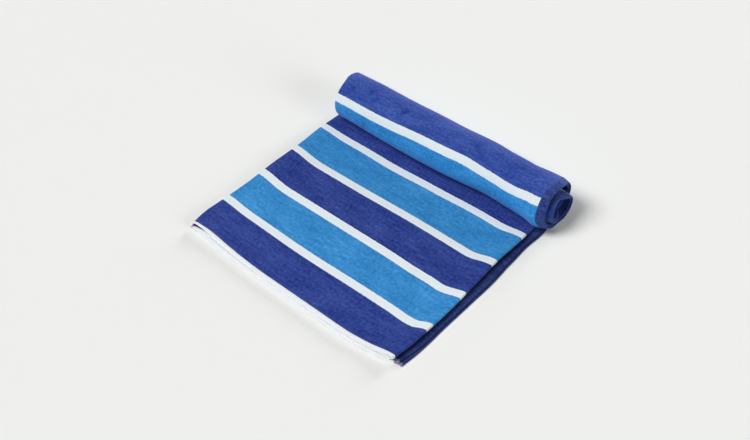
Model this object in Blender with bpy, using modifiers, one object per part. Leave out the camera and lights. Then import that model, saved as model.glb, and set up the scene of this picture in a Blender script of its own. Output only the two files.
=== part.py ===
"""A striped beach towel, folded in four and then half rolled up: one sheet of cloth, one closed solid.

The towel's length is folded twice, so four layers lie on each other. Both short ends, with their end
hems, meet at +X. The folded strip lies flat from its near side edge, at -Y, and its far half is rolled
towards that edge into a loose tube at +Y. The stripes run along X, and so does the roll.

The cloth is a flat grid. Each of its points has a place along the towel's length, which says where it
lies in the four layers, and a place across its width, which says where it lies along the roll.
Layer 0 is the lowest one, on the floor and on the outside of the roll. Layer 3 is the top one.
"""
import bmesh
import bpy
import numpy as np

# ---------------------------------------------------------------- driving dimensions, in metres
TOWEL_WIDTH = 0.753            # across the stripes, from side edge to side edge
CLOTH = 0.0018                 # thickness of the cloth
LAYER_PITCH = 0.0023           # from one layer's middle to the next one's
UPPER_FOLD_X = 0.366           # where the upper two layers fold over, at the right
HEM_X = 0.380                  # where the lower two layers end in the end hems
INNER_FOLD_X = 0.0050          # the fold of the middle two layers lies inside the outer left fold

ROLL_START = 0.3345            # the roll's lowest line, measured from the near edge
ROLL_HALF_WIDTH = 0.0410       # of the outer turn, front to back
ROLL_HALF_HEIGHT = 0.0330      # of the outer turn
LANDING_RADIUS = 0.0250        # with which the outer turn comes down on the flat layers
TURN_PITCH = 0.0090            # from one turn to the next: the four layers and a little air

PUFF_LEFT = 0.0038             # how far the top layer stands off the others at the left fold
PUFF_RIGHT = 0.0030            # and how far the right fold stands up
PUFF_REACH = 0.038             # how far in from a fold the cloth is still raised
PRESSED = (0.262, 0.304)       # between these distances from the edge the roll presses the folds flat

LOWER_AHEAD = 0.0030           # the lower two layers reach this much nearer the front than the upper two
DRAW_LEFT = 0.0085             # how far the near edge is drawn in at the left corner
DRAW_RIGHT = 0.0088            # and at the right corner
DRAW_REACH_LEFT = 0.150        # how far along the near edge the left corner's draw is felt
DRAW_REACH_RIGHT = 0.090       # and the right corner's
DRAW_DEPTH = 0.080             # and how far in from the near edge

# How the cloth lies on its way from the near side edge into the roll, by the place across its width:
# how far its right end stands out past HEM_X, and how far it is pulled on round the roll.
#         place   out      pulled
DRIFT = [(0.000, -0.0070, 0.0000),   # near corner
         (0.030, -0.0040, 0.0000),
         (0.075, -0.0010, 0.0000),
         (0.155, 0.0000, 0.0000),
         (0.225, -0.0020, 0.0000),
         (0.255, 0.0000, 0.0000),
         (0.335, -0.0010, 0.0000),   # under the roll
         (0.390, -0.0050, 0.0050),   # up its back
         (0.420, -0.0070, 0.0080),
         (0.450, -0.0020, 0.0100),   # top of the outer turn
         (0.500, 0.0000, 0.0100),    # its front
         (0.560, 0.0020, 0.0090),
         (0.600, 0.0090, 0.0070),    # back of the inner turn
         (0.640, 0.0030, 0.0050),    # its top
         (0.680, 0.0020, 0.0030),
         (0.720, 0.0060, 0.0020),
         (0.753, 0.0070, 0.0020)]    # far side edge, inside the core

BOX_CENTRE = (0.1939, 0.1862)  # centre of the towel's box, from its near left corner

# Cells of the cloth grid.
CELLS_BEND = 5                 # round one fold
CELLS_TOP = 8                  # along the top layer
CELLS_RUN = 4                  # along each other layer
CELLS_FLAT = 12                # from the near edge to the roll
CELLS_OUTER_TURN = 25
CELLS_INNER_TURN = 22
CELLS_TAIL = 3                 # the last stretch, inside the core

TOWEL_BLUE = (0.027, 0.045, 0.29, 1.0)


def ease(t):
    """0 up to t = 0, 1 from t = 1, and a smooth step between."""
    t = np.clip(t, 0.0, 1.0)
    return t * t * (3.0 - 2.0 * t)


# ---------------------------------------------------------------- the roll, seen from its end
def ellipse_arc(centre, half_y, half_z, start_deg, end_deg, steps):
    """Points of an ellipse; the angle starts at its lowest point and grows towards +Y."""
    angle = np.radians(np.linspace(start_deg, end_deg, steps + 1))
    return np.column_stack([centre[0] + half_y * np.sin(angle), centre[1] - half_z * np.cos(angle)])


def inward(points):
    """Unit normals on the left of a curve in the YZ plane: up from the floor, and into the roll."""
    along = np.gradient(points, axis=0)
    along /= np.linalg.norm(along, axis=1)[:, None]
    return np.column_stack([-along[:, 1], along[:, 0]])


def length_of(points):
    return float(np.linalg.norm(np.diff(points, axis=0), axis=1).sum())


def one_turn():
    """Layer 0 round the outside of the roll, from its lowest line to where it lies on the flat layers."""
    body = ellipse_arc((ROLL_START, ROLL_HALF_HEIGHT), ROLL_HALF_WIDTH, ROLL_HALF_HEIGHT, 0, 270, 270)
    landing_centre = (ROLL_START - ROLL_HALF_WIDTH + LANDING_RADIUS, ROLL_HALF_HEIGHT)
    landing = ellipse_arc(landing_centre, LANDING_RADIUS, ROLL_HALF_HEIGHT - TURN_PITCH, -90, 0, 60)
    closing = np.linspace(landing[-1], (ROLL_START, TURN_PITCH), 20)
    return np.vstack([body, landing[1:], closing[1:]])


OUTER_TURN = one_turn()
STEP_IN = TURN_PITCH * inward(OUTER_TURN)
INNER_TURN = OUTER_TURN + STEP_IN
TAIL = INNER_TURN + STEP_IN
BEFORE = np.linspace((-0.02, 0.0), (ROLL_START, 0.0), 40)

ROLL = np.vstack([BEFORE, OUTER_TURN[1:], INNER_TURN[1:], TAIL[1:]])
ROLL_INWARD = inward(ROLL)
ROLL_PLACE = BEFORE[0, 0] + np.append(0.0, np.cumsum(np.linalg.norm(np.diff(ROLL, axis=0), axis=1)))


def on_roll(place, height):
    """The Y and Z of a point at a place along the roll, at a height above its outer surface."""
    y = np.interp(place, ROLL_PLACE, ROLL[:, 0])
    z = np.interp(place, ROLL_PLACE, ROLL[:, 1])
    normal = np.array([np.interp(place, ROLL_PLACE, ROLL_INWARD[:, axis]) for axis in (0, 1)])
    normal /= np.linalg.norm(normal)
    return y + height * normal[0], z + height * normal[1]


# ---------------------------------------------------------------- the four layers, seen from the near edge
def bend(turn_x, sign, first, last):
    """A fold from one layer to another, as (x, layer) points; sign is +1 where it bulges to +X."""
    radius = abs(last - first) * LAYER_PITCH / 2
    points = []
    for angle in np.linspace(0, np.pi, CELLS_BEND + 1):
        x = turn_x + sign * radius * (np.sin(angle) - 1)
        points.append((x, first + (last - first) * (1 - np.cos(angle)) / 2))
    return points


def run(start, end, layer, cells):
    """The inner points of a straight stretch of one layer."""
    return [(x, layer) for x in np.linspace(start, end, cells + 1)[1:-1]]


def layer_path():
    """The towel's length from end hem to end hem: down the lowest layer, up to the top one, and back in."""
    left = bend(0.0, -1, 0, 3)
    right = bend(UPPER_FOLD_X, 1, 3, 2)
    inner = bend(INNER_FOLD_X, -1, 2, 1)
    return ([(HEM_X, 0.0)] + run(HEM_X, left[0][0], 0.0, CELLS_RUN) + left
            + run(left[-1][0], right[0][0], 3.0, CELLS_TOP) + right
            + run(right[-1][0], inner[0][0], 2.0, CELLS_RUN) + inner
            + run(inner[-1][0], HEM_X, 1.0, CELLS_RUN) + [(HEM_X, 1.0)])


def rows_across():
    """Places across the width where the cloth grid has a row."""
    outer_end = ROLL_START + length_of(OUTER_TURN)
    inner_end = outer_end + length_of(INNER_TURN)
    return np.concatenate([np.linspace(0.0, ROLL_START, CELLS_FLAT + 1),
                           np.linspace(ROLL_START, outer_end, CELLS_OUTER_TURN + 1)[1:],
                           np.linspace(outer_end, inner_end, CELLS_INNER_TURN + 1)[1:],
                           np.linspace(inner_end, TOWEL_WIDTH, CELLS_TAIL + 1)[1:]])


# ---------------------------------------------------------------- the cloth
def bump(distance, reach):
    """1 at a fold or corner, falling smoothly to 0 at the reach."""
    return 0.5 + 0.5 * np.cos(np.pi * np.clip(distance / reach, 0.0, 1.0))


def cloth_point(x, layer, across):
    """Where a point of the folded and rolled cloth lies."""
    upper = ease(layer - 1)
    loose = 1 - ease((across - PRESSED[0]) / (PRESSED[1] - PRESSED[0]))
    left_puff = PUFF_LEFT * bump(x, PUFF_REACH) * ease((layer - 1.5) / 1.5)
    right_puff = PUFF_RIGHT * bump(UPPER_FOLD_X - x, PUFF_REACH) * ease((layer - 1) / 2)
    height = CLOTH / 2 + LAYER_PITCH * layer + loose * (left_puff + right_puff)

    places, outs, pulls = zip(*DRIFT)
    draw_left = DRAW_LEFT * bump(x, DRAW_REACH_LEFT) * (0.6 + 0.4 * upper)
    draw_right = DRAW_RIGHT * bump(UPPER_FOLD_X - x, DRAW_REACH_RIGHT)
    drawn_in = bump(across, DRAW_DEPTH) * (draw_left + draw_right)
    pulled = np.interp(across, places, pulls)
    y, z = on_roll(across + drawn_in - LOWER_AHEAD * (1 - upper) + pulled, height)

    out = np.interp(across, places, outs) * x / HEM_X
    return x + out - BOX_CENTRE[0], y - BOX_CENTRE[1], z


def make_towel(collection):
    """The cloth grid, moved into its folds and its roll, with its thickness."""
    along = layer_path()
    across = rows_across()
    columns, rows = len(along) - 1, len(across) - 1
    bm = bmesh.new()
    bmesh.ops.create_grid(bm, x_segments=columns, y_segments=rows, size=0.5)
    for vert in bm.verts:
        x, layer = along[round((vert.co.x + 0.5) * columns)]
        vert.co = cloth_point(x, layer, across[round((vert.co.y + 0.5) * rows)])
    mesh = bpy.data.meshes.new("towel")
    bm.to_mesh(mesh)
    bm.free()
    mesh.shade_smooth()

    towel = bpy.data.objects.new("towel", mesh)
    collection.objects.link(towel)
    thickness = towel.modifiers.new("cloth thickness", "SOLIDIFY")
    thickness.thickness = CLOTH
    thickness.offset = 0.0
    thickness.use_even_offset = True
    return towel


def towelling():
    """Dyed cotton: the solid's one plain colour is that of the broad dark stripes."""
    material = bpy.data.materials.new("towelling")
    material.use_nodes = True
    shader = material.node_tree.nodes["Principled BSDF"]
    shader.inputs["Base Color"].default_value = TOWEL_BLUE
    shader.inputs["Roughness"].default_value = 0.95
    shader.inputs["Metallic"].default_value = 0.0
    return material


def main():
    for existing in list(bpy.data.objects):
        bpy.data.objects.remove(existing)
    collection = bpy.data.collections.new("beach towel")
    bpy.context.scene.collection.children.link(collection)
    towel = make_towel(collection)
    towel.data.materials.append(towelling())


main()
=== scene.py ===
# %% [markdown]
# # A striped beach towel, folded in four and half rolled up
#
# The real thing is a single rectangle of cotton velour, about 75 cm by 149 cm, woven in broad dark and
# light blue stripes with narrow white ones between. Its length is folded twice, so four layers lie on
# each other, and the far half of that strip is rolled back towards the viewer.
#
# A heap of separate boxes or rings could imitate that from one side. Here the towel is one sheet from
# hem to hem: every point of the flat cloth is sent to its place in the folds and the roll. The stripes
# can then be drawn on the flat cloth, as the weaver does, and they follow each fold by themselves.

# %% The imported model
import math

import bmesh
import bpy
import numpy as np
from mathutils import Matrix, Vector


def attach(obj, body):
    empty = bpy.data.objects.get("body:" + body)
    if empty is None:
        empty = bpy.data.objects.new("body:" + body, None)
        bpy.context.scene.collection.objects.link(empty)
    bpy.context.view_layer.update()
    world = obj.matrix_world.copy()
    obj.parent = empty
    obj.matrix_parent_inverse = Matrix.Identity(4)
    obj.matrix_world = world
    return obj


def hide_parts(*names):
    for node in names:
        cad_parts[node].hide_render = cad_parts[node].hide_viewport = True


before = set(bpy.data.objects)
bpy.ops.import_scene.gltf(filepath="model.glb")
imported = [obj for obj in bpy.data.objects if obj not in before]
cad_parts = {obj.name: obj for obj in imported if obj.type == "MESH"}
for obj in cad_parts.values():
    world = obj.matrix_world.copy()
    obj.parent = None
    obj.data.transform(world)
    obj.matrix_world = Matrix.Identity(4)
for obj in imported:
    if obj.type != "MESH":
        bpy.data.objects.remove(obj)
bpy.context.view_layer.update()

# %% [markdown]
# ## The camera
#
# The camera comes first, because everything else is judged through it. It could be placed by eye, but
# the stripes are parallel and of even width, so they work like a ruler: the angle, the distance and the
# focal length below are the ones at which the drawn stripes fall where they do in the picture.

# %% Directions and objects
def direction(azimuth, elevation):
    """A step of 1 m towards a compass direction, 0 at -Y and 90 at +X, and a height, both in degrees."""
    turn, rise = math.radians(azimuth), math.radians(elevation)
    return Vector((math.sin(turn) * math.cos(rise), -math.cos(turn) * math.cos(rise), math.sin(rise)))


def add_object(name, data):
    """A new object in the scene, with its mesh, lamp or camera."""
    added = bpy.data.objects.new(name, data)
    bpy.context.scene.collection.objects.link(added)
    return added


print("azimuth 90 is towards", [round(value, 3) for value in direction(90.0, 0.0)])

# %% Camera
CAMERA_TARGET = Vector((-0.0065, -0.0074, 0.0))
CAMERA_AZIMUTH = 40.41         # degrees; 0 looks along +Y
CAMERA_ELEVATION = 45.23       # degrees above the horizon
CAMERA_DISTANCE = 1.2626
CAMERA_LENS = 43.81            # mm
CAMERA_SENSOR = 36.0           # mm wide


def add_camera():
    data = bpy.data.cameras.new("camera")
    data.lens = CAMERA_LENS
    data.sensor_width = CAMERA_SENSOR
    data.sensor_fit = "HORIZONTAL"
    camera = add_object("camera", data)
    camera.location = CAMERA_TARGET + CAMERA_DISTANCE * direction(CAMERA_AZIMUTH, CAMERA_ELEVATION)
    camera.rotation_euler = (math.radians(90 - CAMERA_ELEVATION), 0.0, math.radians(CAMERA_AZIMUTH))
    bpy.context.scene.camera = camera
    return camera


camera = add_camera()
print("camera", [round(value, 3) for value in camera.location])

# %% [markdown]
# ## Sizes of the cloth
#
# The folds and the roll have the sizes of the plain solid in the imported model, so the fine cloth lies
# within a few millimetres of it. It adds what a few thousand faces can't show: hems that are thicker than
# the cloth between them, layers that lie in pairs, and an uneven roll.

# %% Sizes
MM = 0.001

TOWEL_WIDTH = 0.753            # across the stripes, from side edge to side edge
UPPER_FOLD_X = 0.366           # where the upper two layers fold over, at the right
HEM_X = 0.380                  # where the lower two layers end in the end hems
INNER_FOLD_X = 0.0050          # the fold of the middle two layers, inside the outer left one
BOX_CENTRE = (0.1939, 0.1862)  # centre of the towel's box, from its near left corner

CLOTH = 2.05 * MM              # thickness of the cloth between its hems
LAYER_PITCH = 2.1 * MM         # from one layer's middle to the next one's
PAIR_GAP = 0.45 * MM           # the lower pair of layers and the upper pair lie a little apart
SIDE_HEM = 2.5 * MM            # thickness of the hem along the side edges
SIDE_HEM_WIDTH = 4.5 * MM
SIDE_HEM_RISE = (SIDE_HEM_WIDTH + 1.25 * MM, SIDE_HEM_WIDTH - 1.25 * MM)   # from plain cloth to full hem
END_HEM = 2.4 * MM             # thickness of the hem at each end of the length
END_HEM_WIDTH = 11.6 * MM
END_HEM_RISE = (END_HEM_WIDTH + 0.75 * MM, END_HEM_WIDTH - 0.75 * MM)
THINNEST = 0.2                 # the share of its thickness that the cloth keeps at its very edge
FIRST_STRIPE = 5.0 * MM        # the white side edge before the first broad stripe

print("stack of four layers:", round((CLOTH + 3 * LAYER_PITCH + PAIR_GAP) / MM, 2), "mm")

# %% [markdown]
# ## The roll, seen from its end
#
# A roll could be a spiral formula. A real loose roll is flatter than that: it stands on its own weight,
# and its outer turn comes down early onto the layers in front of it. So one turn is drawn from two
# ellipse arcs and a straight line, and each further turn is the same curve moved inward by the
# thickness of the four layers.

# %% The roll's curve
ROLL_START = 0.3345            # the roll's lowest line, measured from the near edge
ROLL_HALF_WIDTH = 0.0410
ROLL_HALF_HEIGHT = 0.0330
LANDING_RADIUS = 0.0250        # with which the outer turn comes down on the flat layers
TURN_PITCH = 0.0090            # from one turn to the next
LEAD_IN = 0.020                # the curve starts this much in front of the near edge

# How finely each stretch of the curve is drawn.
BODY_STEPS = 270
LANDING_STEPS = 60
CLOSING_POINTS = 20
BEFORE_POINTS = 40


def ellipse_arc(centre, half_y, half_z, start_deg, end_deg, steps):
    """Points of an ellipse; the angle starts at its lowest point and grows towards +Y."""
    angle = np.radians(np.linspace(start_deg, end_deg, steps + 1))
    return np.column_stack([centre[0] + half_y * np.sin(angle), centre[1] - half_z * np.cos(angle)])


def inward(points):
    """Unit normals on the left of a curve in the YZ plane: up from the floor, and into the roll."""
    along = np.gradient(points, axis=0)
    along /= np.linalg.norm(along, axis=1)[:, None]
    return np.column_stack([-along[:, 1], along[:, 0]])


def distances(points):
    """How far along a line of points each of them lies."""
    return np.append(0.0, np.cumsum(np.linalg.norm(np.diff(points, axis=0), axis=1)))


print("the roll is", 2 * ROLL_HALF_WIDTH, "m by", 2 * ROLL_HALF_HEIGHT, "m across")

# %% The roll's turns
def one_turn():
    """Layer 0 round the outside of the roll, from its lowest line to where it lies on the flat layers."""
    centre = (ROLL_START, ROLL_HALF_HEIGHT)
    body = ellipse_arc(centre, ROLL_HALF_WIDTH, ROLL_HALF_HEIGHT, 0, 270, BODY_STEPS)
    landing_centre = (ROLL_START - ROLL_HALF_WIDTH + LANDING_RADIUS, ROLL_HALF_HEIGHT)
    landing_height = ROLL_HALF_HEIGHT - TURN_PITCH
    landing = ellipse_arc(landing_centre, LANDING_RADIUS, landing_height, -90, 0, LANDING_STEPS)
    closing = np.linspace(landing[-1], (ROLL_START, TURN_PITCH), CLOSING_POINTS)
    return np.vstack([body, landing[1:], closing[1:]])


OUTER_TURN = one_turn()
STEP_IN = TURN_PITCH * inward(OUTER_TURN)
INNER_TURN = OUTER_TURN + STEP_IN
TAIL = INNER_TURN + STEP_IN
BEFORE = np.linspace((-LEAD_IN, 0.0), (ROLL_START, 0.0), BEFORE_POINTS)

ROLL = np.vstack([BEFORE, OUTER_TURN[1:], INNER_TURN[1:], TAIL[1:]])
ROLL_INWARD = inward(ROLL)
ROLL_PLACE = BEFORE[0, 0] + distances(ROLL)
OUTER_END = ROLL_START + distances(OUTER_TURN)[-1]
INNER_END = OUTER_END + distances(INNER_TURN)[-1]
print("the outer turn takes", round(OUTER_END - ROLL_START, 3), "m of cloth, the inner one",
      round(INNER_END - OUTER_END, 3), "m")

# %% [markdown]
# ## The four layers, seen from the near edge
#
# The length of the towel is one line that starts at a hem, runs under everything to the left fold, comes
# back on top to the right fold, goes in again and ends above its own beginning. A point on that line has
# an x and a layer, from 0 at the bottom to 3 on top; in a fold the layer is a fraction.

# %% The line of the length
FOLD_STEPS = 24


def bend(turn_x, sign, first, last):
    """A fold from one layer to another, as (x, layer) points; sign is +1 where it bulges to +X."""
    radius = abs(last - first) * LAYER_PITCH / 2
    angle = np.linspace(0, np.pi, FOLD_STEPS + 1)
    x = turn_x + sign * radius * (np.sin(angle) - 1)
    return np.column_stack([x, first + (last - first) * (1 - np.cos(angle)) / 2])


LEFT_BEND = bend(0.0, -1, 0, 3)
RIGHT_BEND = bend(UPPER_FOLD_X, 1, 3, 2)
INNER_BEND = bend(INNER_FOLD_X, -1, 2, 1)
LENGTH_LINE = np.vstack([[(HEM_X, 0.0)], LEFT_BEND, RIGHT_BEND, INNER_BEND, [(HEM_X, 1.0)]])
LENGTH_PLACE = distances(LENGTH_LINE * (1.0, LAYER_PITCH))
TOWEL_LENGTH = LENGTH_PLACE[-1]

# Where each fold begins and ends along the length. The line's first and last points are the hems.
FOLD_STARTS = range(1, len(LENGTH_LINE) - 1, FOLD_STEPS + 1)
FOLDS = [(LENGTH_PLACE[start], LENGTH_PLACE[start + FOLD_STEPS]) for start in FOLD_STARTS]
print("the towel is", round(TOWEL_LENGTH, 3), "m long; folds at", np.round(FOLDS, 3).tolist())

# %% [markdown]
# ## How the cloth really lies
#
# Cloth laid by hand is never straight. Its folds stand open a little, its corners are drawn in, and its
# stripes sway. That could come from a cloth simulation, but then the sway would be a new one. Here each
# unevenness is a soft bump with a named size, placed where the picture shows one.

# %% Folds, corners and hems
PUFF_LEFT = 1.0 * MM           # how far the top layer stands off the others at the left fold
PUFF_RIGHT = 4.4 * MM          # how far the right fold stands up
PUFF_GAP = 0.65                # and which part of that is a gap below both upper layers
PUFF_REACH = 0.042             # how far in from its fold each of them is felt
PRESSED = (0.266, 0.306)       # between these distances from the edge the roll presses the folds flat

GAPE = 3.6 * MM                # how much further the top layer stands off at the near left corner
GAPE_LENGTH = 0.098            # how far that runs along the near edge
GAPE_DEPTH = 0.055             # and how far in from it
GAPE_AT_FOLD = 0.3             # the share of it that is left right at the fold
GAPE_RISE = 0.010              # and how far from the fold it is whole
GAPE_REACH = 0.044             # how far from that corner the top layer's edge lies back

DRAW_LEFT = 6.6 * MM           # how far the near edge is drawn in at the left corner
DRAW_LOWER = 4.6 * MM          # that of the layers below the top one
DRAW_RIGHT = 7.0 * MM          # how far it is drawn in at the right corner
DRAW_REACH_LEFT = 0.150        # how far along the near edge the left corner's draw is felt
DRAW_REACH_RIGHT = 0.080       # and the right corner's
DRAW_DEPTH = 0.080             # and how far in from the near edge
HEM_TUCK = 1.8 * MM            # how far the top layer's side hem is tucked in at the left corner

SET_FORWARD = 0.5 * MM         # the whole cloth lies this much nearer than the solid
LOWER_AHEAD = 3.2 * MM         # the lower two layers reach this much nearer the front than the upper two
LOWER_AHEAD_LEFT = -1.8 * MM   # what the left corner adds to that
LOWER_AHEAD_REACH = 0.080
CORNER_BACK = 8.0 * MM         # how far the end hems' near corner is turned back
CORNER_BACK_LENGTH = 0.035
CORNER_BACK_DEPTH = 0.040

FOLD_OUT = 3.0 * MM            # the right fold stands out a little further towards the near corner
FOLD_OUT_REACH = 0.450
FOLD_CORNER = 1.6 * MM         # but its corner itself is drawn in
FOLD_CORNER_REACH = 0.035
HEM_STEP = 2.0 * MM            # how far the upper one of the two end hems lies inside the lower one
HEM_STEP_REACH = 0.030
HEM_STEP_CORNER = 3.0 * MM     # and how much further at the near corner
HEM_STEP_CORNER_REACH = 0.070
HEM_SWAY_X = (0.340, 0.365)    # between these the end hems begin to sway, as in the table below
HEM_SPREAD = (0.036, 0.016)    # and between these distances from the ends they spread the layers apart
print("the near left corner gapes", round((PUFF_LEFT + GAPE) / MM, 1), "mm")

# %% How the cloth drifts and the roll sways
# How the cloth lies on its way from the near side edge into the roll, by the place across its width:
# how far its left folds and its right end are shifted along X, and how far it is pulled on round the roll.
#         place   left     right    pulled
DRIFT = [(0.000, 0.0080, -0.0080, 0.0000),   # near corners
         (0.030, 0.0028, -0.0055, 0.0000),
         (0.055, 0.0030, -0.0040, 0.0000),
         (0.075, 0.0038, -0.0030, 0.0000),
         (0.110, 0.0042, -0.0018, 0.0000),
         (0.155, 0.0022, -0.0023, 0.0000),
         (0.225, 0.0018, -0.0030, 0.0000),
         (0.255, 0.0000, -0.0010, 0.0000),
         (0.335, 0.0000, -0.0015, 0.0000),   # under the roll
         (0.390, -0.0015, -0.0042, 0.0050),  # up its back
         (0.410, -0.0008, -0.0040, 0.0070),
         (0.420, -0.0015, -0.0040, 0.0080),
         (0.435, -0.0004, -0.0010, 0.0100),  # top of the outer turn
         (0.450, 0.0028, -0.0018, 0.0100),
         (0.470, 0.0046, -0.0027, 0.0100),
         (0.495, 0.0060, 0.0001, 0.0100),    # its front
         (0.507, 0.0070, 0.0014, 0.0100),
         (0.520, 0.0080, 0.0058, 0.0100),
         (0.550, 0.0100, 0.0076, 0.0100),    # down on the flat layers
         (0.572, 0.0110, 0.0090, 0.0100),
         (0.590, 0.0090, 0.0078, 0.0100),    # back of the inner turn
         (0.608, 0.0060, 0.0056, 0.0100),
         (0.630, 0.0060, 0.0060, 0.0100),    # its top
         (0.650, 0.0060, 0.0030, 0.0100),
         (0.665, 0.0060, 0.0040, 0.0100),
         (0.682, 0.0080, 0.0068, 0.0100),    # its front
         (0.700, 0.0100, 0.0088, 0.0100),
         (0.712, 0.0100, 0.0105, 0.0100),
         (0.730, 0.0100, 0.0020, 0.0130),
         (0.753, 0.0100, -0.0200, 0.0180)]   # far side edge, deep inside the core
DRIFT_LEFT, DRIFT_RIGHT, DRIFT_PULLED = 1, 2, 3   # its columns

# How far the hems of the lower two layers stand out past the line of the folds above them.
#              across  out
HEM_SWAY = [(0.000, 0.0000),
            (0.055, -0.0004),
            (0.100, -0.0018),
            (0.150, 0.0000),
            (0.200, 0.0022),
            (0.235, 0.0000),
            (0.270, -0.0028),
            (0.310, 0.0000),
            (0.330, 0.0000),
            (0.753, 0.0000)]
HEM_SWAY_OUT = 1

# How the roll sways along its length: how far its front stands back, how far its foot stands forward and
# its rear outward, how far its top has sunk (or risen, where less than 0), and how far the cloth of the
# outer turn is pulled on, so that its stripes wander.
#        x       back     foot     rear     sunk     pulled
SWAY = [(0.000, 0.0030, 0.0000, 0.0015, -0.0015, 0.0033),
        (0.030, 0.0025, 0.0004, 0.0015, -0.0017, 0.0037),
        (0.055, 0.0022, 0.0014, 0.0018, -0.0024, 0.0052),
        (0.070, 0.0020, 0.0020, 0.0015, -0.0019, 0.0052),
        (0.110, 0.0015, 0.0029, 0.0008, -0.0008, 0.0032),
        (0.160, 0.0016, 0.0037, 0.0008, -0.0006, 0.0004),
        (0.210, 0.0018, 0.0026, 0.0005, -0.0002, -0.0012),
        (0.240, 0.0036, 0.0024, 0.0010, -0.0010, -0.0008),
        (0.270, 0.0074, 0.0038, 0.0016, -0.0015, 0.0041),
        (0.290, 0.0088, 0.0054, 0.0016, -0.0005, 0.0056),
        (0.310, 0.0078, 0.0058, 0.0020, 0.0003, 0.0058),
        (0.330, 0.0050, 0.0042, 0.0016, 0.0021, 0.0025),
        (0.350, 0.0000, 0.0013, 0.0018, 0.0011, -0.0023),
        (0.362, -0.0042, 0.0004, 0.0015, 0.0003, -0.0047),
        (0.370, -0.0010, 0.0000, 0.0008, 0.0000, -0.0036),
        (0.380, 0.0050, 0.0000, -0.0010, 0.0020, -0.0030)]
SWAY_BACK, SWAY_FOOT, SWAY_REAR, SWAY_SUNK, SWAY_PULLED = 1, 2, 3, 4, 5
print("rows in the tables: drift", len(DRIFT), "hem sway", len(HEM_SWAY), "sway", len(SWAY))

# %% Where the roll sways and sinks
# Each of these runs from where the sway sets in to where it is whole.
ONTO_ROLL = (ROLL_START, ROLL_START + 0.080)
FRONT_Y = (ROLL_START + 0.020, ROLL_START - 0.030)
FOOT_Y = (ROLL_START, ROLL_START - 0.030)
FOOT_Z = (0.042, 0.012)
REAR_Y = (ROLL_START, ROLL_START + 0.030)
TOP_Z = (0.012, 0.052)

# The inner turn lies loose at the roll's right end. Where it comes loose, where its back and top have sunk
# and its front stands off the outer turn, and where its hems stand out again.
LOOSE_X = (0.300, 0.360)
LOOSE_ACROSS = (OUTER_END, OUTER_END + 0.020)
INNER_SINK = 9.0 * MM
INNER_SINK_ACROSS = (0.675, 0.630)
INNER_GAP = 2.6 * MM
INNER_GAP_ACROSS = (0.610, 0.640)
HEM_FLARE = 1.2 * MM           # how much less of a gap there is at the hems
HEM_FLARE_X = (UPPER_FOLD_X, UPPER_FOLD_X + 0.012)
print("the inner turn comes loose from x =", LOOSE_X[0], "on")

# %% Swells and creases
# Swells of the upper layers: where they are, how far they reach, and how far the cloth is shifted
# towards the roll and lifted there.
#          x      across  reach_x reach_across  shift    lift
SWELLS = [(0.145, 0.273, 0.070, 0.045, -0.0024, 0.0000),
          (0.290, 0.273, 0.080, 0.045, 0.0018, 0.0008),
          (0.240, 0.203, 0.120, 0.040, 0.0010, 0.0008),
          (0.160, 0.070, 0.110, 0.045, -0.0020, 0.0004),
          (0.295, 0.140, 0.060, 0.035, -0.0018, 0.0004),
          (0.180, 0.000, 0.400, 0.040, -0.0004, 0.0000),
          (0.230, 0.070, 0.220, 0.050, -0.0008, 0.0000),
          (0.000, 0.000, 0.040, 0.050, -0.0030, 0.0000),
          (0.345, 0.050, 0.040, 0.060, -0.0025, 0.0000),
          (0.345, 0.140, 0.030, 0.045, -0.0030, 0.0000),
          (0.000, 0.170, 0.062, 0.200, 0.0060, 0.0000),
          (0.366, 0.070, 0.020, 0.080, 0.0052, 0.0000),
          (0.366, 0.200, 0.038, 0.160, 0.0052, 0.0000)]

# Creases: soft troughs on the roll and low ridges on the flat cloth. Where they are, which way they run
# (degrees from the stripes towards the far edge), how far they reach along and beside that line, and how
# deep or high they are.
#           x      across  turn   along  beside  height
CREASES = [(0.052, 0.447, -75.0, 0.013, 0.0060, -0.0016),
           (0.066, 0.457, -70.0, 0.013, 0.0060, -0.0014),
           (0.118, 0.452, -60.0, 0.016, 0.0070, -0.0018),
           (0.020, 0.458, -80.0, 0.011, 0.0060, -0.0010),
           (0.150, 0.446, -20.0, 0.030, 0.0090, -0.0008),
           (0.060, 0.500, -80.0, 0.016, 0.0070, -0.0009),
           (0.095, 0.498, -70.0, 0.016, 0.0070, -0.0009),
           (0.255, 0.455, 25.0, 0.032, 0.0100, -0.0008),
           (0.310, 0.447, -30.0, 0.026, 0.0090, -0.0008),
           (0.120, 0.105, 12.0, 0.060, 0.0110, 0.0008),
           (0.215, 0.045, -8.0, 0.050, 0.0100, 0.0006),
           (0.250, 0.165, 10.0, 0.055, 0.0110, 0.0008),
           (0.090, 0.225, -6.0, 0.050, 0.0110, 0.0008),
           (0.300, 0.235, 14.0, 0.045, 0.0110, 0.0006)]
DEEPEST_CREASE = 1.8 * MM
CREASE_ACROSS = (ROLL_START, ROLL_START + 0.030)   # where they pass from the top layer to the roll's outside
print(len(SWELLS), "swells and", len(CREASES), "creases")

# %% Soft steps and bumps
def ease(t):
    """0 up to t = 0, 1 from t = 1, and a smooth step between."""
    t = np.clip(t, 0.0, 1.0)
    return t * t * (3.0 - 2.0 * t)


def step(place, span):
    """0 before a span, 1 past it, and a smooth step between; a span may run either way."""
    start, end = span
    return ease((place - start) / (end - start))


def bump(distance, reach):
    """1 at a place, falling smoothly to 0 at the reach on either side."""
    return 0.5 + 0.5 * np.cos(np.pi * np.clip(np.abs(distance) / reach, 0.0, 1.0))


def turned(x, y, angle):
    """A place, measured along and beside a line at an angle to the x axis."""
    return x * math.cos(angle) + y * math.sin(angle), y * math.cos(angle) - x * math.sin(angle)


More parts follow.
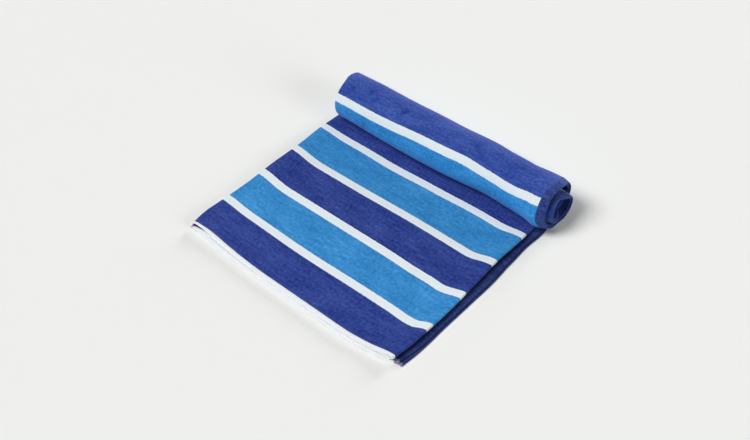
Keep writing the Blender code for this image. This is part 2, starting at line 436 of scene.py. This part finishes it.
def read(table, place, column):
    """A value from one column of a table, on a smooth curve through its rows."""
    places, values = np.array(table)[:, 0], np.array(table)[:, column]
    slopes = np.gradient(values, places)
    place = np.clip(place, places[0], places[-1])
    row = np.clip(np.searchsorted(places, place, side="right") - 1, 0, len(places) - 2)
    gap = places[row + 1] - places[row]
    t = (place - places[row]) / gap
    rise, start, end = values[row + 1] - values[row], slopes[row] * gap, slopes[row + 1] * gap
    return values[row] + t * (start + t * (3 * rise - 2 * start - end + t * (start + end - 2 * rise)))


print("a quarter of the way up a step:", step(0.25, (0.0, 1.0)))

# %% Unevenness
def creased(x, across):
    """How far the creases raise the cloth's outer face, or sink it where less than 0."""
    raised = np.zeros_like(x)
    for crease_x, crease_across, turn, reach_along, reach_beside, rise in CREASES:
        along_it, beside_it = turned(x - crease_x, across - crease_across, math.radians(turn))
        raised = raised + rise * bump(along_it, reach_along) * bump(beside_it, reach_beside)
    return raised


def swollen(x, across, upper):
    """How far the swells shift the upper layers towards the roll, and how far they lift them."""
    shifted, lifted = np.zeros_like(x), np.zeros_like(x)
    for swell_x, swell_across, reach_x, reach_across, shift, lift in SWELLS:
        here = bump(x - swell_x, reach_x) * bump(across - swell_across, reach_across)
        here = here * upper * (1 - step(across, PRESSED))
        shifted = shifted + shift * here
        lifted = lifted + lift * here
    return shifted, lifted


crease_places = np.array(CREASES)[:, :2].T
print("the deepest crease sinks", round(float(-creased(*crease_places).min()) / MM, 2), "mm")

# %% Hems and thickness
def to_rim(place, size):
    """How far a place along the length or across the width is from the nearer end of it."""
    return np.minimum(place, size - place)


def near_side_hem(across):
    """1 on the hem of either side edge, 0 on the cloth between."""
    return step(to_rim(across, TOWEL_WIDTH), SIDE_HEM_RISE)


def near_end_hem(along):
    """1 on the hem of either end, 0 on the cloth between."""
    return step(to_rim(along, TOWEL_LENGTH), END_HEM_RISE)


def thickness(along, across):
    """How thick the cloth is, with both kinds of hem and with rounded edges."""
    thick = CLOTH + (END_HEM - CLOTH) * near_end_hem(along)
    thick = np.maximum(thick, CLOTH + (SIDE_HEM - CLOTH) * near_side_hem(across))
    for distance in (to_rim(along, TOWEL_LENGTH), to_rim(across, TOWEL_WIDTH)):
        rounding = np.clip(distance / (SIDE_HEM / 2), 0.0, 1.0)
        thick = thick * np.maximum(np.sqrt(1 - (1 - rounding) ** 2), THINNEST)
    return thick


hem_cloth_edge = thickness(np.full(3, TOWEL_LENGTH / 3), np.array([3.0 * MM, TOWEL_WIDTH / 2, 0.0]))
print("thickness of hem, cloth and edge:", np.round(hem_cloth_edge / MM, 2), "mm")

# %% [markdown]
# ## From the flat cloth to its place
#
# One function sends points of the flat cloth to their places in space. It takes whole arrays, because
# the cloth will have nearly fifty thousand points, and a loop over them in Python would be slow.

# %% Heights of the layers
def on_roll(place, height):
    """The Y and Z of points at places along the roll, at heights above its outer surface."""
    y = np.interp(place, ROLL_PLACE, ROLL[:, 0])
    z = np.interp(place, ROLL_PLACE, ROLL[:, 1])
    normal_y = np.interp(place, ROLL_PLACE, ROLL_INWARD[:, 0])
    normal_z = np.interp(place, ROLL_PLACE, ROLL_INWARD[:, 1])
    size = np.hypot(normal_y, normal_z)
    return y + height * normal_y / size, z + height * normal_z / size


def layer_height(along, across, x, layer):
    """How high a layer's middle lies above the roll's outer surface."""
    side_hem = near_side_hem(across)
    thicker = (SIDE_HEM - CLOTH) * side_hem
    spread = (END_HEM - CLOTH) * step(to_rim(along, TOWEL_LENGTH), HEM_SPREAD) * (1 - side_hem)
    pitch = LAYER_PITCH + thicker + spread
    height = (CLOTH + thicker + spread) / 2 + pitch * layer + PAIR_GAP * ease(layer - 1)

    gape = GAPE * bump(across, GAPE_DEPTH) * bump(x, GAPE_LENGTH)
    gape = gape * (GAPE_AT_FOLD + (1 - GAPE_AT_FOLD) * ease(x / GAPE_RISE))
    left_puff = (PUFF_LEFT * bump(x, PUFF_REACH) + gape) * ease(layer - 2)
    raised = PUFF_GAP * ease(layer - 1) + (1 - PUFF_GAP) * ease(layer - 2)
    right_puff = PUFF_RIGHT * bump(UPPER_FOLD_X - x, PUFF_REACH) * raised
    return height + (1 - step(across, PRESSED)) * (left_puff + right_puff)


top = layer_height(TOWEL_LENGTH / 3, TOWEL_WIDTH / 5, HEM_X / 2, 3)
print("middle of the top layer:", round(float(top) / MM, 2), "mm above the floor")

# %% Corners, roll and hems
def drawn(across, x, layer):
    """How far the corners, the steps between the layers and the hems shift the cloth towards the roll."""
    upper = ease(layer - 1)
    corner = bump(x, GAPE_REACH)
    on_top = upper + (ease(layer - 2) - upper) * corner
    draw_left = (DRAW_LOWER + (DRAW_LEFT - DRAW_LOWER) * on_top) * bump(x, DRAW_REACH_LEFT)
    draw_right = DRAW_RIGHT * bump(UPPER_FOLD_X - x, DRAW_REACH_RIGHT)
    ahead = LOWER_AHEAD + LOWER_AHEAD_LEFT * bump(x, LOWER_AHEAD_REACH)
    tucked = HEM_TUCK * corner * on_top * (1 - ease(across / FIRST_STRIPE))
    turned_back = CORNER_BACK * bump(HEM_X - x, CORNER_BACK_LENGTH) * bump(across, CORNER_BACK_DEPTH)
    return (bump(across, DRAW_DEPTH) * (draw_left + draw_right) - ahead * (1 - on_top) - SET_FORWARD
            + read(DRIFT, across, DRIFT_PULLED) + tucked + turned_back * (1 - upper))


def swayed(across, x, place, height, loose):
    """The Y and Z of points, with the roll's sway along its length and its sunken inner turn."""
    rolled = step(across, ONTO_ROLL)
    y, z = on_roll(place + rolled * read(SWAY, x, SWAY_PULLED), height)
    back = read(SWAY, x, SWAY_BACK) * step(y, FRONT_Y)
    foot = read(SWAY, x, SWAY_FOOT) * step(y, FOOT_Y) * step(z, FOOT_Z)
    rear = read(SWAY, x, SWAY_REAR) * step(y, REAR_Y)
    sunk = read(SWAY, x, SWAY_SUNK) + INNER_SINK * loose * step(across, INNER_SINK_ACROSS)
    return y + rolled * (back - foot + rear), z - rolled * sunk * step(z, TOP_Z)


def moved_along(across, x, layer):
    """The X of points, with the steps and sways of the hems, the folds and the drift."""
    upper = ease(layer - 1)
    to_right = np.clip(x / HEM_X, 0.0, 1.0)
    hem_step = HEM_STEP + HEM_STEP_CORNER * bump(across, HEM_STEP_CORNER_REACH)
    x = x - hem_step * bump(HEM_X - x, HEM_STEP_REACH) * (ease(layer) - upper)
    x = x + read(HEM_SWAY, across, HEM_SWAY_OUT) * (1 - upper) * step(x, HEM_SWAY_X)
    fold_out = FOLD_OUT * bump(across, FOLD_OUT_REACH) - FOLD_CORNER * bump(across, FOLD_CORNER_REACH)
    x = x + fold_out * to_right * upper
    return x + (1 - to_right) * read(DRIFT, across, DRIFT_LEFT) + to_right * read(DRIFT, across, DRIFT_RIGHT)


print("the top layer's left corner is drawn in by", round(float(drawn(0.0, 0.0, 3)) / MM, 1), "mm")

# %% Laying the cloth
def lay(along, across):
    """Where points of the flat cloth lie, as an array of x, y, z."""
    x = np.interp(along, LENGTH_PLACE, LENGTH_LINE[:, 0])
    layer = np.interp(along, LENGTH_PLACE, LENGTH_LINE[:, 1])
    shifted, lifted = swollen(x, across, ease(layer - 1))
    place = across + drawn(across, x, layer) + shifted
    height = layer_height(along, across, x, layer) + lifted

    outside = step(across, CREASE_ACROSS)
    height = height + creased(x, across) * (ease(layer - 2) * (1 - outside) - outside)
    loose = step(x, LOOSE_X) * step(across, LOOSE_ACROSS)
    gap = INNER_GAP - HEM_FLARE * step(x, HEM_FLARE_X)
    height = height + gap * loose * step(across, INNER_GAP_ACROSS)

    y, z = swayed(across, x, place, height, loose)
    x = moved_along(across, x, layer)
    return np.stack([x - BOX_CENTRE[0], y - BOX_CENTRE[1], z], axis=-1)


print("near left corner of the top layer:", np.round(lay(FOLDS[0][1], 0.0), 4).tolist())

# %% [markdown]
# ## The cloth
#
# The flat towel is one bmesh grid. Its rows and columns aren't evenly spaced: they crowd together at the
# edges and in the folds, where the cloth turns within a few millimetres, and spread out where it lies
# flat. The grid's own numbering tells each point which row and column it is on, and `lay` moves it.
#
# The thickness could be a second grid joined to the first along its rim. Solidify does exactly that,
# and a vertex group lets it make hems thick and edges round.

# %% Rows and columns
EDGE_STEPS = (0.0, 0.35 * MM, 0.8 * MM, 1.4 * MM, 2.4 * MM)
END_HEM_RIM = (END_HEM_WIDTH - 1.0 * MM, END_HEM_WIDTH + 1.0 * MM)
SIDE_HEM_RIM = (SIDE_HEM_WIDTH - 1.2 * MM, SIDE_HEM_WIDTH + 1.3 * MM)

# Cells along the length: on an end hem and over its rim, along layers 0, 3, 2 and 1, and round the folds.
CELLS_HEM, CELLS_HEM_RIM = 3, 3
CELLS_LAYERS = (82, 90, 20, 20)
CELLS_FOLDS = (12, 8, 8)

# Cells across the width.
CELLS_SIDE_RIM = 2
CELLS_FLAT = 70                # from the near edge to the roll
CELLS_OUTER_TURN = 56
CELLS_INNER_TURN = 42
CELLS_TAIL = 4                 # the last stretch, inside the core


def stretch(start, end, cells):
    """Evenly spaced places after start, up to and with end."""
    return np.linspace(start, end, cells + 1)[1:]


def columns_along():
    """Places along the length where the cloth grid has a column: hem, layer 0, fold, layer 3 and so on."""
    hem = np.concatenate([EDGE_STEPS, stretch(EDGE_STEPS[-1], END_HEM_RIM[0], CELLS_HEM),
                          stretch(*END_HEM_RIM, CELLS_HEM_RIM)])
    places = [hem]
    layer_start = hem[-1]
    for fold, fold_cells, layer_cells in zip(FOLDS, CELLS_FOLDS, CELLS_LAYERS):
        places += [stretch(layer_start, fold[0], layer_cells), stretch(*fold, fold_cells)]
        layer_start = fold[1]
    places.append(stretch(layer_start, TOWEL_LENGTH - hem[-1], CELLS_LAYERS[-1]))
    return np.concatenate(places + [TOWEL_LENGTH - hem[::-1][1:]])


def rows_across():
    """Places across the width where the cloth grid has a row."""
    hem = np.concatenate([EDGE_STEPS, stretch(*SIDE_HEM_RIM, CELLS_SIDE_RIM)])
    return np.concatenate([hem, stretch(hem[-1], ROLL_START, CELLS_FLAT),
                           stretch(ROLL_START, OUTER_END, CELLS_OUTER_TURN),
                           stretch(OUTER_END, INNER_END, CELLS_INNER_TURN),
                           stretch(INNER_END, TOWEL_WIDTH - hem[-1], CELLS_TAIL),
                           TOWEL_WIDTH - hem[::-1][1:]])


COLUMNS = columns_along()
ROWS = rows_across()
print(len(COLUMNS), "columns and", len(ROWS), "rows,",
      4 * (len(COLUMNS) - 1) * (len(ROWS) - 1), "triangles once the cloth is thick")

# %% The sheet
def finished(bm, name):
    """The mesh of a bmesh that is ready."""
    mesh = bpy.data.meshes.new(name)
    bm.to_mesh(mesh)
    bm.free()
    return mesh


def make_cloth():
    """The laid sheet, with its UV map in metres and its creases, and how thick it is at each point."""
    last_column, last_row = len(COLUMNS) - 1, len(ROWS) - 1
    bm = bmesh.new()
    bmesh.ops.create_grid(bm, x_segments=last_column, y_segments=last_row, size=0.5)
    mesh = finished(bm, "striped_towel")

    # The grid reaches from -0.5 to 0.5 both ways, which gives each point's column and row.
    corners = np.empty(3 * len(mesh.vertices))
    mesh.vertices.foreach_get("co", corners)
    corners = corners.reshape(-1, 3)
    along = COLUMNS[np.rint((corners[:, 0] + 0.5) * last_column).astype(int)]
    across = ROWS[np.rint((corners[:, 1] + 0.5) * last_row).astype(int)]
    mesh.vertices.foreach_set("co", lay(along, across).ravel())

    owner = np.empty(len(mesh.loops), dtype=int)
    mesh.loops.foreach_get("vertex_index", owner)
    flat_cloth = mesh.uv_layers.new(name="flat_cloth")
    flat_cloth.uv.foreach_set("vector", np.column_stack([along, across])[owner].ravel())
    # How deep each crease sinks, from 0 to 1, where the materials paint shade.
    crease = mesh.attributes.new("crease", "FLOAT", "POINT")
    x = np.interp(along, LENGTH_PLACE, LENGTH_LINE[:, 0])
    crease.data.foreach_set("value", np.clip(-creased(x, across) / DEEPEST_CREASE, 0.0, 1.0))
    mesh.update()
    mesh.shade_smooth()
    return mesh, thickness(along, across)


def make_towel():
    mesh, thick = make_cloth()
    towel = add_object("striped_towel", mesh)
    group = towel.vertex_groups.new(name="thickness")
    for index, share in enumerate(thick / SIDE_HEM):
        group.add([index], float(share), "REPLACE")
    solid = towel.modifiers.new("cloth thickness", "SOLIDIFY")
    solid.thickness = SIDE_HEM
    solid.offset = 0.0
    solid.vertex_group = group.name
    solid.material_offset = 1
    return towel


towel = make_towel()
print("the cloth has", len(towel.data.vertices), "points")

# %% [markdown]
# ## The seams
#
# Each hem is the cloth's own edge, turned under and sewn down with one row of stitches, which shows on
# both faces as short dashes of thread. A dashed line in the material could stand for it, but it would
# look painted on where the light grazes it. So each stitch is a small mesh, sunk halfway into the pile.
# `lay` gives its place and, from points close by, the way the cloth runs and faces there.

# %% Stitches
STITCH_PITCH = 3.4 * MM
STITCH_HALF_SIZE = (1.2 * MM, 0.30 * MM, 0.28 * MM)   # half its length, width and thickness
SIDE_SEAM = 3.6 * MM           # from the side edge
END_SEAM = 10.4 * MM           # from the end
SEAM_ENDS = 3.0 * MM           # how far from the corners each seam stops
STITCH_FACES = 20              # of the small icosphere that makes one
NEARBY = 0.2 * MM              # over this distance the way that the cloth runs is measured


def unit(vectors):
    """The same directions, each 1 long."""
    return vectors / np.linalg.norm(vectors, axis=1)[:, None]


print("a stitch is", [round(2 * half / MM, 2) for half in STITCH_HALF_SIZE], "mm")

# %% Seams
def add_stitches(bm, along, across, seam_is_along):
    """A stitch on either face of the cloth at each of the places."""
    middle = lay(along, across)
    to_end = unit(lay(along + NEARBY, across) - lay(along - NEARBY, across))
    to_side = unit(lay(along, across + NEARBY) - lay(along, across - NEARBY))
    facing = unit(np.cross(to_end, to_side))
    half_cloth = thickness(along, across)[:, None] / 2
    for face in (-facing, facing):
        places = middle + half_cloth * face
        places[:, 2] = np.maximum(places[:, 2], STITCH_HALF_SIZE[2])   # none reaches below the floor
        for place, run, out in zip(places, to_end if seam_is_along else to_side, face):
            turn = Matrix((run, np.cross(out, run), out)).transposed().to_4x4()
            stitch = Matrix.Translation(place) @ turn @ Matrix.Diagonal((*STITCH_HALF_SIZE, 1.0))
            bmesh.ops.create_icosphere(bm, subdivisions=1, radius=1.0, matrix=stitch)


def places_between(start, end):
    """Where the stitches of one seam lie, from its first to its last."""
    return np.linspace(start, end, round((end - start) / STITCH_PITCH) + 1)


def make_seams(name, seam_is_along):
    """The seams of both side hems, or of both end hems, in one mesh."""
    bm = bmesh.new()
    if seam_is_along:
        along = places_between(SEAM_ENDS, TOWEL_LENGTH - SEAM_ENDS)
        for across in (SIDE_SEAM, TOWEL_WIDTH - SIDE_SEAM):
            add_stitches(bm, along, np.full_like(along, across), seam_is_along)
    else:
        across = places_between(SEAM_ENDS, TOWEL_WIDTH - SEAM_ENDS)
        for along in (END_SEAM, TOWEL_LENGTH - END_SEAM):
            add_stitches(bm, np.full_like(across, along), across, seam_is_along)
    mesh = finished(bm, name)
    mesh.shade_smooth()
    return add_object(name, mesh)


side_seams = make_seams("side_seams", seam_is_along=True)
end_seams = make_seams("end_seams", seam_is_along=False)
print("stitches:", (len(side_seams.data.polygons) + len(end_seams.data.polygons)) // STITCH_FACES)

# %% [markdown]
# ## Towelling
#
# The towel is woven from dyed yarn: the stripes go right through. One side is velour, whose loops are
# shorn to a short soft nap; the other keeps its loops. The stripes could be an image, but a few nodes
# draw them sharper at any size: the UV map holds each point's place on the flat cloth in metres, so the
# stripes depend only on the place across it, and the end hems only on the place along it.
#
# The nap is never one flat colour. It stands in tufts and leans in patches, thicker yarns run along the
# stripes, and light catches the tips at a glancing angle. Three stretched noises and a sheen layer show
# these. On the roll the nap leans the other way and catches more light: a second pair of lighter blues is
# painted light for it. The end hems' blue is lighter there with painted light and darker on the flat
# layers with painted shade, and the creases are darker with painted shade.

# %% Colours
SCREEN_GAMMA = 2.2


def paint(red, green, blue):
    """A colour as a screen shows it, 0 to 255, as the linear light that a shader takes."""
    return tuple((value / 255) ** SCREEN_GAMMA for value in (red, green, blue)) + (1.0,)


def darker(colour, share):
    return tuple(share * value for value in colour[:3]) + (1.0,)


DARK_BLUE = paint(46, 65, 139)
LIGHT_BLUE = paint(56, 138, 203)
DARK_BLUE_ROLL_PAINTED_LIGHT = paint(57, 81, 161)   # lighter copies for the roll: painted light, for the sheen of its nap, which leans the other way there
LIGHT_BLUE_ROLL_PAINTED_LIGHT = paint(54, 141, 210)
WHITE = paint(231, 240, 244)
EDGE_WHITE = paint(243, 246, 248)
# End hem blue: darker with painted shade on the flat layers, lighter with painted light on the roll.
HEM_BLUE_PAINTED_SHADE = paint(41, 55, 107)
HEM_BLUE_ROLL_PAINTED_LIGHT = paint(51, 69, 132)
HEM_CORNER = paint(132, 136, 158)   # where the white side hem crosses the blue end hem
SHEEN = paint(170, 185, 255)
WHITE_THREAD = paint(246, 248, 249)
BLUE_THREAD = paint(60, 80, 146)

DARK_STRIPE = 56.5 * MM
LIGHT_STRIPE = 55.9 * MM
REPEAT = 137.6 * MM            # each broad stripe and the narrow white one after it take half of this
UPPER_BORDER = 2.6 * MM        # how much wider the blue end border is on the hem that lies on top
CORNER_WIDTH = 2.6 * MM        # how far in from the side edge its corners are lighter
print("stripes repeat every", round(REPEAT, 4), "m")

# %% [markdown]
# ## Wiring nodes
#
# A material's nodes could be placed one by one in the shader editor. In a script, a small class that adds
# and wires a node in one line keeps the stripes readable.

# %% Node helpers
class Nodes:
    """Adds nodes to a material's tree and wires them as they are made."""

    def __init__(self, material):
        material.use_nodes = True
        self.tree = material.node_tree
        self.shader = self.tree.nodes["Principled BSDF"]

    def feed(self, socket, value):
        """Wires another node's output into a socket, or sets the socket's own value."""
        if isinstance(value, bpy.types.NodeSocket):
            self.tree.links.new(value, socket)
        elif value is not None:
            socket.default_value = value

    def add(self, kind, inputs=(), **settings):
        node = self.tree.nodes.new("ShaderNode" + kind)
        for name, value in settings.items():
            setattr(node, name, value)
        for name, value in dict(inputs).items():
            self.feed(node.inputs[name], value)
        return node

    def calc(self, operation, first, second=None):
        node = self.add("Math", operation=operation)
        self.feed(node.inputs[0], first)
        self.feed(node.inputs[1], second)
        return node.outputs[0]

    def finish(self, inputs):
        """Feeds the shader's own sockets, by their names."""
        for name, value in inputs.items():
            self.feed(self.shader.inputs[name], value)

    def noise(self, vector, scale, detail=2.0, roughness=0.5):
        node = self.add("TexNoise", {"Vector": vector, "Scale": scale, "Detail": detail,
                                     "Roughness": roughness})
        return node.outputs["Fac"]

    def stretched(self, vector, scale):
        node = self.add("Mapping", {"Vector": vector, "Scale": scale})
        return node.outputs["Vector"]

    def blend(self, share, first, second, mode="MIX"):
        node = self.add("Mix", data_type="RGBA", blend_type=mode)
        self.feed(node.inputs["Factor"], share)
        self.feed(node.inputs["A"], first)
        self.feed(node.inputs["B"], second)
        return node.outputs["Result"]

    def ramp(self, position, stops):
        node = self.add("ValToRGB", {"Fac": position})
        while len(node.color_ramp.elements) < len(stops):
            node.color_ramp.elements.new(1.0)
        for element, (place, colour) in zip(node.color_ramp.elements, stops):
            element.position = place
            element.color = colour
        return node.outputs["Color"]


print("node helpers ready")

# %% Nap and borders
# The unevenness of the nap: tufts and streaks for each metre along and across the stripes, and how far
# each lightens or darkens the colour, as a share of a screen's whole range.
#        along   across        share
NAP = [((240.0, 220.0, 1.0), 0.26),    # single tufts
       ((38.0, 260.0, 1.0), 0.16),     # streaks along the stripes
       ((20.0, 40.0, 1.0), 0.16)]      # where the nap leans in patches
CREASE_PAINTED_SHADE = -0.11           # painted shade in the creases, as a share of a screen's whole range
SLUBS = (22.0, 700.0, 1.0)     # thicker yarns, for each metre along and across the stripes
LOOPS_IN_PILE = 0.7            # the loops' share of the pile's relief; the slubs have the rest
UNDYED = 1.1                   # less a yarn's red, the share of the shade that it shows: little on white

STRIPE_SOFT = 0.25 * MM        # half the width over which two stripes run into each other
STRIPE_BORDER = 1.2 * MM       # the width of their slightly darker borders
BORDER_SHADE = 0.72
WANDER = 1.6 * MM              # within which the borders stray, because the tufts along them lean
WANDER_SCALE = 260.0           # strays for each metre
HEM_WANDER = 0.5               # the share of it at the end hems


def stripe_stops(dark, light):
    """One repeat of the stripes for a ramp: dark, white, light, white, with slightly darker borders."""
    soft = STRIPE_SOFT / REPEAT
    border = STRIPE_BORDER / REPEAT
    half = 0.5
    stops = []
    for start, width, colour in ((0.0, DARK_STRIPE, dark), (half, LIGHT_STRIPE, light)):
        broad = width / REPEAT
        edge_colour = darker(colour, BORDER_SHADE)
        stops += [(start + soft, edge_colour), (start + border, colour), (start + broad - border, colour),
                  (start + broad - soft, edge_colour), (start + broad + soft, WHITE),
                  (start + half - soft, WHITE)]
    return stops


print("colour stops in a repeat:", len(stripe_stops(DARK_BLUE, LIGHT_BLUE)))

# %% Stripes and nap
def stripes(nodes, along, across, wander):
    """The cloth's colour at a place: the stripes, the white side edges and the blue end hems."""
    place = nodes.calc("SUBTRACT", nodes.calc("ADD", across, wander), FIRST_STRIPE)
    repeat = nodes.calc("FRACT", nodes.calc("DIVIDE", place, REPEAT))
    rolled = nodes.add("MapRange", {"Value": across, "From Min": ONTO_ROLL[0], "From Max": ONTO_ROLL[1]})
    rolled = rolled.outputs["Result"]
    # On the roll the stripes take lighter copies of their blues: painted light.
    colour = nodes.blend(rolled, nodes.ramp(repeat, stripe_stops(DARK_BLUE, LIGHT_BLUE)),
                         nodes.ramp(repeat, stripe_stops(DARK_BLUE_ROLL_PAINTED_LIGHT, LIGHT_BLUE_ROLL_PAINTED_LIGHT)))

    to_side = nodes.calc("MINIMUM", across, nodes.calc("SUBTRACT", TOWEL_WIDTH, across))
    colour = nodes.blend(nodes.calc("LESS_THAN", to_side, FIRST_STRIPE), colour, EDGE_WHITE)

    to_end = nodes.calc("MINIMUM", along, nodes.calc("SUBTRACT", TOWEL_LENGTH - UPPER_BORDER, along))
    to_end = nodes.calc("ADD", to_end, nodes.calc("MULTIPLY", wander, HEM_WANDER))
    # The hem's blue: painted shade on the flat layers, painted light on the roll.
    hem_colour = nodes.blend(rolled, HEM_BLUE_PAINTED_SHADE, HEM_BLUE_ROLL_PAINTED_LIGHT)
    hem_colour = nodes.blend(nodes.calc("LESS_THAN", to_side, CORNER_WIDTH), hem_colour, HEM_CORNER)
    return nodes.blend(nodes.calc("LESS_THAN", to_end, END_HEM_WIDTH), colour, hem_colour)


def shaded(nodes, flat, colour):
    """The colour with its nap's tufts, streaks and patches, as a screen shows it, and painted shade in
    creases.
    """
    # Painted shade in the creases, then the nap's random tone.
    crease = nodes.add("Attribute", attribute_name="crease").outputs["Fac"]
    shade = nodes.calc("MULTIPLY", crease, CREASE_PAINTED_SHADE)
    for scale, share in NAP:
        tufts = nodes.noise(nodes.stretched(flat, scale), 1.0)
        shade = nodes.calc("ADD", shade, nodes.calc("MULTIPLY", nodes.calc("SUBTRACT", tufts, 0.5), share))
    colour = nodes.add("Gamma", {"Color": colour, "Gamma": 1 / SCREEN_GAMMA}).outputs["Color"]
    red = nodes.add("SeparateColor", {"Color": colour}).outputs["Red"]
    dyed = nodes.calc("SUBTRACT", UNDYED, red)
    colour = nodes.blend(dyed, colour, shade, "ADD")
    return nodes.add("Gamma", {"Color": colour, "Gamma": SCREEN_GAMMA}).outputs["Color"]


print("noises in the nap:", len(NAP))

# %% Velour and loops
def towelling(name, loop_size, relief):
    """Velour or loops in the towel's stripes; loop_size is in metres, relief is the height of the pile."""
    material = bpy.data.materials.new(name)
    nodes = Nodes(material)
    flat = nodes.add("UVMap", uv_map="flat_cloth").outputs["UV"]
    parts = nodes.add("SeparateXYZ", {"Vector": flat})
    wander = nodes.calc("SUBTRACT", nodes.noise(flat, WANDER_SCALE, detail=3.0), 0.5)
    wander = nodes.calc("MULTIPLY", wander, WANDER)
    colour = stripes(nodes, parts.outputs["X"], parts.outputs["Y"], wander)

    loops = nodes.noise(flat, 1.0 / loop_size, roughness=0.6)
    slubs = nodes.noise(nodes.stretched(flat, SLUBS), 1.0, detail=3.0)
    pile = nodes.calc("ADD", nodes.calc("MULTIPLY", loops, LOOPS_IN_PILE),
                      nodes.calc("MULTIPLY", slubs, 1 - LOOPS_IN_PILE))
    dent = nodes.add("Bump", {"Height": pile, "Strength": 0.6, "Distance": relief})
    nodes.finish({"Base Color": shaded(nodes, flat, colour), "Normal": dent.outputs["Normal"],
                  "Roughness": 0.92, "Specular IOR Level": 0.15,
                  "Sheen Weight": 0.35, "Sheen Roughness": 0.45, "Sheen Tint": SHEEN})
    return material


towel.data.materials.append(towelling("velour", 1.1 * MM, 0.8 * MM))
towel.data.materials.append(towelling("terry_loops", 1.8 * MM, 1.4 * MM))
print("materials:", [material.name for material in towel.data.materials])

# %% [markdown]
# ## Sewing thread
#
# The thread is twisted cotton, white on the side hems and blue on the end hems. A plain colour would look
# like plastic wire, so one fine noise both dents it between its plies and paints shade there.

# %% Sewing thread
PLIES = 2500.0                 # ridges for each metre
PLY_RELIEF = 0.15 * MM
# The painted shade between the plies keeps this share of the thread's colour.
PLY_SHADE = 0.75


def thread(name, colour):
    """Twisted cotton thread: its plies show as fine, uneven ridges, with painted shade between them."""
    material = bpy.data.materials.new(name)
    nodes = Nodes(material)
    place = nodes.add("TexCoord").outputs["Object"]
    plies = nodes.noise(place, PLIES, detail=3.0, roughness=0.6)
    dent = nodes.add("Bump", {"Height": plies, "Strength": 0.5, "Distance": PLY_RELIEF})
    nodes.finish({"Base Color": nodes.blend(plies, darker(colour, PLY_SHADE), colour),
                  "Normal": dent.outputs["Normal"], "Roughness": 0.7, "Sheen Weight": 0.2})
    return material


side_seams.data.materials.append(thread("white_thread", WHITE_THREAD))
end_seams.data.materials.append(thread("blue_thread", BLUE_THREAD))
print("threads:", [seams.data.materials[0].name for seams in (side_seams, end_seams)])

# %% [markdown]
# ## What the towel lies on, and the light
#
# The picture is taken on plain pale card. One large plane does for it. The light is a studio's. Lamps
# that stand near the towel would light one end of it more than the other, and the floor would darken
# with distance. So these are sun lamps, which shine alike everywhere, and each fills a broad part of the
# sky, so that shadows are soft: the key lamp at the front left, a low one behind the roll, a low one at
# the right and a weak one high at the left. Nearly nothing comes from the sky itself.

# %% Floor
FLOOR_SIZE = 80.0              # so wide that its end is out of sight from any side
CARD = paint(243, 244, 241)


def add_floor():
    bm = bmesh.new()
    bmesh.ops.create_grid(bm, x_segments=1, y_segments=1, size=FLOOR_SIZE / 2)
    floor = add_object("floor", finished(bm, "floor"))
    card = bpy.data.materials.new("pale_card")
    Nodes(card).finish({"Base Color": CARD, "Roughness": 0.9, "Specular IOR Level": 0.1})
    floor.data.materials.append(card)
    return floor


floor = add_floor()
print("floor of", FLOOR_SIZE, "m")

# %% Light
LAMP_DISTANCE = 2.6            # where the lamps' symbols stand in the file
LAMP_WIDTH = 28.0              # degrees of the sky that each lamp fills, which softens its shadows
SKY_STRENGTH = 0.02
#         name          azimuth elevation strength
LAMPS = [("key_lamp", 324.0, 49.0, 2.46),
         ("rim_lamp", 180.0, 20.0, 1.46),
         ("side_lamp", 90.0, 20.0, 0.96),
         ("left_lamp", 270.0, 62.0, 0.30)]


def add_lamp(name, azimuth, elevation, strength):
    """A broad, distant lamp from a compass direction and a height in degrees; strength is in W/m2."""
    away = direction(azimuth, elevation)
    data = bpy.data.lights.new(name, "SUN")
    data.angle = math.radians(LAMP_WIDTH)
    data.energy = strength
    lamp = add_object(name, data)
    lamp.location = away * LAMP_DISTANCE
    lamp.rotation_mode = "QUATERNION"
    lamp.rotation_quaternion = (-away).to_track_quat("-Z", "Y")


def add_sky():
    world = bpy.data.worlds.new("studio")
    world.use_nodes = True
    sky = world.node_tree.nodes["Background"]
    sky.inputs["Color"].default_value = (1.0, 1.0, 1.0, 1.0)
    sky.inputs["Strength"].default_value = SKY_STRENGTH
    bpy.context.scene.world = world


add_sky()
for name, azimuth, elevation, strength in LAMPS:
    add_lamp(name, azimuth, elevation, strength)
bpy.context.scene.view_settings.view_transform = "Standard"
print("lamps:", [light[0] for light in LAMPS])

# %% [markdown]
# ## Attaching the pieces
#
# The towel is one sheet of cloth. It and its seams are attached to one body, and the plain solid of the
# imported model, which the towel stands for, is hidden.

# %% Attaching the pieces
for piece in (towel, side_seams, end_seams):
    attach(piece, "root")
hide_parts("towel")
